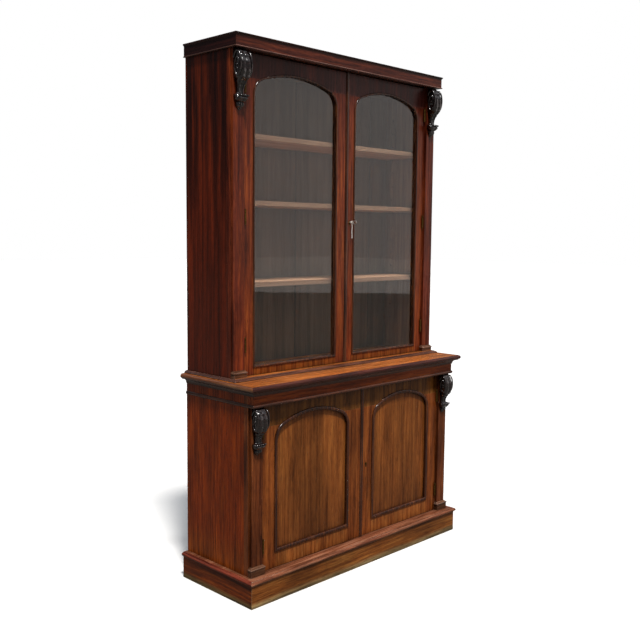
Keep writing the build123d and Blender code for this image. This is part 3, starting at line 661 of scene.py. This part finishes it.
def dress_cornice(side_moulding):
    """A red-brown fascia under a nearly black fillet, with a pale lip along its foot, whose paleness is a
    painted highlight.
    """
    fascia_front = mahogany("fascia_front", "X", "#2a1210", "#52241a", "#7a3a24", streak=12, figure=60)
    fascia_side = mahogany("fascia_side", "Y", "#1a0a0a", "#2c1110", "#421a14")
    fillet = mahogany("cornice_fillet", "X", "#140a08", "#28140f", "#402018", streak=12)
    # the lip's pale colour is a painted highlight along the foot of the cornice
    lip = mahogany("cornice_lip_highlight", "X", "#5a342c", "#8a5c50", "#a87e70", streak=10, polish=0.2, gloss=0.5)
    foot_z, top_z = (corner.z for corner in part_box("cornice_fascia"))

    def choose(low, high):
        if high.z < foot_z + LIP_HEIGHT:
            return lip if lies_across(low, high) else side_moulding
        if low.z > top_z - FILLET_HEIGHT:
            return fillet if lies_across(low, high) else fascia_side
        return fascia_front if lies_across(low, high) else fascia_side

    finish("cornice_fascia", choose)


def dress_waist():
    """A bright orange top, with a dark nose in front and a scuffed tan one at the sides."""
    top = mahogany(
        "waist_top", "X", "#965022", "#b8662e", "#cc8240", streak=10, figure=80, polish=0.16,
        wear="#c08a78",
    )
    front = mahogany(
        "waist_nose_front", "X", "#300f0b", "#4e2017", "#703a2b", streak=9, polish=0.18, gloss=0.4,
        wear="#b07a6c",
    )
    side = mahogany(
        "waist_nose_side", "Y", "#4a2414", "#7e4828", "#a87248", streak=9, polish=0.16, gloss=0.6,
        wear="#c89a74",
    )

    def choose(low, high):
        if high.z - low.z < MM:
            return top
        return front if lies_across(low, high) else side

    finish("waist_top", choose)
    finish_all(top, "case_bottom_board")


def dress_base():
    """Rich red-brown sides and frieze, darker pilasters, and orange doors with flame-figured panels."""
    side = mahogany(
        "base_side", "Z", "#642204", "#883206", "#a84a0c", streak=9, figure=60,
        fade=("Z", 0.3, 0.1, "#a04e12"),
    )
    inside = plain_board("sawn_mahogany_base_inside", "Z", "#5a4030", "#806048")
    finish("base_sides", by_face("base_sides", side, inside))
    frieze = mahogany("frieze", "X", "#5e2408", "#8e3c0e", "#aa5416")
    finish_all(frieze, "base_front_rails")
    pilaster = mahogany("base_pilaster", "Z", "#401a0c", "#6e3618", "#925028")
    finish_all(pilaster, "base_pilasters")
    stile = mahogany("base_stile", "Z", "#54260c", "#86441a", "#a8602a")
    head = mahogany("base_head", "Z", "#4a2a10", "#744418", "#946028", streak=20)
    foot = mahogany("base_foot", "Z", "#6a3414", "#9a5624", "#b8743a", streak=11)
    for name in ("panel_left_frame", "panel_right_frame"):
        finish(name, by_rail(name, stile, head, foot))
    # the panels are darker towards the foot
    veneer = mahogany(
        "flame_veneer", "Z", "#663412", "#8c4e20", "#a8662e", streak=13, figure=100,
        fade=("Z", 0.62, -0.1, "#5a2e14"),
    )
    finish_all(veneer, "panel_left_panel", "panel_right_panel")


def dress_plinth():
    """Kicked and scrubbed boards with a worn pale foot edge, and a redder roll above them."""
    front = mahogany(
        "plinth_front", "X", "#5a2c10", "#8c5020", "#ae7438", streak=10, polish=0.3, wear="#c0a080", rub=5,
        fade=("Z", 0.042, 0.014, "#a89064"),
    )
    side = mahogany(
        "plinth_side", "Y", "#481e08", "#74300c", "#9e4c14", streak=10, polish=0.3, wear="#b09068", rub=5,
        fade=("Z", 0.040, 0.014, "#8a7448"),
    )
    finish("plinth_boards", along_run(front, side))
    roll_front = mahogany("plinth_roll_front", "X", "#5c3020", "#94583c", "#b88264", streak=9, wear="#d0b09a")
    roll_side = mahogany("plinth_roll_side", "Y", "#4c1c12", "#7c3422", "#a04e38", streak=9, wear="#b06a58")
    finish("plinth_mouldings", along_run(roll_front, roll_side))
    finish_all(roll_front, "base_bottom_board")
    feet = mahogany(
        "foot_block", "X", "#3a2016", "#643e28", "#8e6448", streak=8, rub=3.5, wear="#d0b8aa",
    )
    finish_all(feet, "pilaster_feet")


def dress_inside():
    """Pale pinkish shelves in front of dull brown back boards, under a dusty top."""
    shelf = plain_board("oiled_mahogany_shelf", "X", "#b07458", "#e4ac8e", rough=0.5)
    finish_all(shelf, "shelf_1", "shelf_2", "shelf_3", "base_shelf")
    back = plain_board(
        "sawn_pine_back_board", "Z", "#523e32", "#7c6150", rough=0.7, plank=40, joint=BACK_JOINT,
    )
    finish_all(back, "case_back_boards", "base_back_boards")
    dusty = plain_board("sawn_pine_dust_board", "X", "#54443a", "#84705f", rough=0.75, plank=40)
    finish_all(dusty, "case_top_board", "cornice_dust_board")


def dress_fittings():
    """Dull brass hinges, locks and bolts, and a bright steel key."""
    brass = metal("cast_brass", "#3a2c18", "#8a6a34", 0.35)
    finish_all(
        brass, "hinge_fixed_leaves", "hinge_pins", "glazed_left_hinge_leaves", "glazed_right_hinge_leaves",
        "panel_left_hinge_leaves", "panel_right_hinge_leaves", "upper_bolt_plates", "lower_bolt_plates",
        "upper_lock_case", "lower_lock_case", "upper_slide_bolt_top", "upper_slide_bolt_foot",
        "lower_slide_bolt_top", "lower_slide_bolt_foot", "shelf_pegs",
    )
    steel = metal("filed_steel", "#c4c2bc", "#f2f0ec", 0.32)
    finish_all(steel, "key", "upper_lock_bolt", "lower_lock_bolt", "joining_screws")


# Carved corbels

# how far the carving stands out, as a share of its depth, at shares of the way down
CORBEL_LINE = [
    (0, 0.3), (0.05, 0.62), (0.13, 0.88), (0.24, 1.05), (0.36, 1.08), (0.47, 0.95), (0.55, 0.55), (0.6, 0.36),
    (0.66, 0.27), (0.735, 0.27), (0.76, 0.5), (0.81, 0.66), (0.855, 0.48), (0.89, 0.16), (0.935, 0.27),
    (0.965, 0.12), (1, 0.03),
]
# how wide the carving is, as a share of its full width, at shares of the way down
CORBEL_SPREAD = [
    (0, 0.94), (0.3, 1), (0.46, 0.98), (0.53, 0.7), (0.6, 0.54), (0.72, 0.52), (0.76, 0.98), (0.83, 0.94),
    (0.88, 0.56), (0.93, 0.62), (1, 0.16),
]
# how deep the hollows between the reeds are cut, as a share of the depth
REED_CUT = [(0, 0.04), (0.2, 0.13), (0.45, 0.13), (0.6, 0.07), (0.75, 0.02), (0.86, 0.06), (1, 0.02)]


def between(line, share):
    """A smooth value at a share along a line of (share, value) points."""
    for (a, low), (b, high) in zip(line[:-1], line[1:]):
        if share <= b:
            t = (share - a) / (b - a)
            return low + (high - low) * (1 - math.cos(math.pi * t)) / 2
    return line[-1][1]


def add_ring_strip(bm, rings):
    """Joins rings of points into a closed skin."""
    made = [[bm.verts.new(point) for point in ring] for ring in rings]
    count = len(made[0])
    for before, after in zip(made[:-1], made[1:]):
        for i in range(count):
            j = (i + 1) % count
            bm.faces.new((before[i], before[j], after[j], after[i]))
    bm.faces.new(made[0][::-1])
    bm.faces.new(made[-1])


def add_tube(bm, points, radii, sides=12):
    """A round tube along points, each with its own radius."""
    rings = []
    across = None
    for index, point in enumerate(points):
        ahead = points[min(index + 1, len(points) - 1)]
        behind = points[max(index - 1, 0)]
        direction = (ahead - behind).normalized()
        seed = across or direction.orthogonal()
        across = (seed - seed.dot(direction) * direction).normalized()
        over = direction.cross(across)
        ring = []
        for k in range(sides):
            angle = 2 * math.pi * k / sides
            ring.append(point + radii[index] * (math.cos(angle) * across + math.sin(angle) * over))
        rings.append(ring)
    add_ring_strip(bm, rings)


def add_lobe(bm, steps, place, radius):
    """A tube whose points and radii follow from the share of the way along it."""
    shares = [step / steps for step in range(steps + 1)]
    add_tube(bm, [place(t) for t in shares], [radius(t) for t in shares])


def add_button(bm, middle, radii):
    """A smooth rounded boss."""
    place = Matrix.Translation(middle) @ Matrix.Diagonal((*radii, 1))
    bmesh.ops.create_uvsphere(bm, u_segments=18, v_segments=12, radius=1, matrix=place)


def add_scroll(bm, at):
    """The reeded front, which runs from the scroll over the neck and the knob to the tip of the leaf."""
    rings = []
    for row in range(CORBEL_ROWS + 1):
        down = row / CORBEL_ROWS
        out = between(CORBEL_LINE, down)
        half = between(CORBEL_SPREAD, down) * CORBEL_WIDTH / 2
        cut = between(REED_CUT, down)
        ring = [at(-half, 0, down)]
        for column in range(REED_COLUMNS + 1):
            share = column / REED_COLUMNS
            across = 2 * share - 1
            # reeds are fuller than a sine wave, and fall away at the flanks
            reed = abs(math.sin(math.pi * REEDS * share)) ** 0.6
            shoulder = 1 - 0.22 * abs(across) ** 6
            ring.append(at(half * across, max(out * shoulder - cut * (1 - reed), 0.02), down))
        ring.append(at(half, 0, down))
        rings.append(ring)
    add_ring_strip(bm, rings)


def add_volutes(bm, at, size):
    """A volute on each flank, which winds in from the top round a boss and stands proud."""
    for flank in (-CORBEL_WIDTH / 2, CORBEL_WIDTH / 2):

        def place(t):
            angle = math.radians(150) - VOLUTE_TURNS * 2 * math.pi * t
            reach = 0.47 * (1 - t) ** 0.9 + 0.07
            out = VOLUTE_OUT + 0.95 * reach * math.cos(angle)
            down = VOLUTE_DOWN - 0.45 * reach * math.sin(angle)
            return at(flank, out, down)

        add_lobe(bm, VOLUTE_STEPS, place, lambda t: (4.6 - 1.8 * t) * MM * size)
        boss = at(flank + math.copysign(MM, flank), VOLUTE_OUT, VOLUTE_DOWN)
        add_button(bm, boss, (4.5 * MM, 4.5 * MM, 5 * MM))


def add_beads(bm, at, size):
    """A row of beads along the knob."""
    for index in range(BEADS):
        across = (index - (BEADS - 1) / 2) * 2.4 * BEAD_RADIUS
        middle = at(across, KNOB_OUT, KNOB_DOWN)
        add_button(bm, middle, (BEAD_RADIUS, BEAD_RADIUS, BEAD_RADIUS * size))


def add_leaves(bm, at, size):
    """A leaf under the knob, with a lobe in the middle and one on each side, and straps down the neck."""
    for lean in (-1, 0, 1):
        length = 0.115 - 0.03 * abs(lean)
        add_lobe(
            bm, 12,
            lambda t: at(lean * (7 + 9 * t) * MM, 0.28 - 0.16 * t, 0.865 + length * t),
            lambda t: (1.2 + 5.2 * math.sin(math.pi * min(1, 0.9 * t + 0.08))) * MM * size,
        )
    for lean in (-1, 1):

        def place(t):
            down = 0.50 + 0.23 * t
            return at(lean * (15 - 7 * t) * MM, 0.96 * between(CORBEL_LINE, down), down)

        add_lobe(bm, 16, place, lambda t: (3.0 + 1.2 * math.sin(math.pi * t)) * MM * size)


def corbel(name, node, side, carving):
    """One carved console, on the left where side is -1 and on the right where it is 1."""
    low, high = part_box(node)
    depth = high.y - low.y
    height = high.z - low.z
    size = height / FULL_CORBEL
    middle_x = side * (high.x - CORBEL_WIDTH / 2)

    def at(across, out, down):
        """A point so far across, at a share of the depth out and a share of the height down."""
        return Vector((middle_x + across, high.y - out * depth, high.z - down * height))

    bm = bmesh.new()
    add_scroll(bm, at)
    add_volutes(bm, at, size)
    add_beads(bm, at, size)
    add_leaves(bm, at, size)
    piece = piece_from(bm, name, carving, "carcass", node)


# String on the key


def route_line(points):
    """Points along the smooth line of a route."""
    curve = bpy.data.curves.new("route", "CURVE")
    curve.dimensions = "3D"
    curve.resolution_u = 24
    spline = curve.splines.new("NURBS")
    spline.points.add(len(points) - 1)
    for target, point in zip(spline.points, points):
        target.co = (*point, 1)
    spline.order_u = 3
    spline.use_endpoint_u = True
    holder = bpy.data.objects.new("route", curve)
    bpy.context.scene.collection.objects.link(holder)
    mesh = bpy.data.meshes.new_from_object(holder)
    line = [vertex.co.copy() for vertex in mesh.vertices]
    bpy.data.objects.remove(holder)
    bpy.data.curves.remove(curve)
    bpy.data.meshes.remove(mesh)
    return line


def twist_string(line, cotton):
    """Two plies twisted round each other, pulled thinner and fuller by turns."""
    bm = bmesh.new()
    ply = STRING_DIAMETER * 0.3
    for start in (0, math.pi):
        travelled = 0
        points = []
        radii = []
        for index, point in enumerate(line):
            if index:
                travelled += (point - line[index - 1]).length
            angle = start + 2 * math.pi * travelled / TWIST_LENGTH
            points.append(point + ply * Vector((math.cos(angle), math.sin(angle), 0)) * 0.85)
            radii.append(ply * (1.25 + 0.3 * math.sin(2 * math.pi * travelled / KNUCKLE_LENGTH)))
        add_tube(bm, points, radii, sides=8)
    string = piece_from(bm, "twisted_string", cotton, "glazed_right", "key_string")
    return string


def tie_knots(line, cotton):
    """The loop round the key's shank, and the knots down the string."""
    top_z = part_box("string_knots")[1].z
    shank_x, shank_y, _ = STRING_ROUTE[0]
    loop_middle = Vector((shank_x, shank_y, top_z - LOOP_DROP))
    bm = bmesh.new()
    loop = []
    for step in range(LOOP_STEPS + 1):
        angle = 2 * math.pi * step / LOOP_STEPS
        turn = Vector((math.cos(angle), 0.12 * math.sin(3 * angle), math.sin(angle)))
        loop.append(loop_middle + LOOP_RADIUS * turn)
    add_tube(bm, loop, [1.5 * MM] * len(loop), sides=8)
    for height, half in KNOTS:
        nearest = min(line, key=lambda point: abs(point.z - height))
        add_button(bm, Vector((nearest.x, nearest.y, height)), (half, 0.9 * half, 0.85 * half))
    knots = piece_from(bm, "string_loop_and_knots", cotton, "glazed_right", "string_knots")
    return knots


def hang_string():
    """The string that hangs from the key."""
    cotton = cotton_string()
    line = route_line(STRING_ROUTE)
    string = twist_string(line, cotton)
    knots = tie_knots(line, cotton)
    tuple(STRING_ROUTE[0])


# The whole scene

bpy.context.scene.view_settings.view_transform = "Standard"
place_camera()
hang_string()
dress_case()
dress_glazed_doors()
dress_mouldings()
dress_waist()
dress_base()
dress_plinth()
dress_inside()
dress_fittings()
carving = carved_mahogany()
for side, word in ((-1, "left"), (1, "right")):
    corbel(f"case_corbel_{word}", "case_corbels", side, carving)
    corbel(f"base_corbel_{word}", "base_corbels", side, carving)
lay_floor()
light_room()
hang_lamp()
stand_panel()
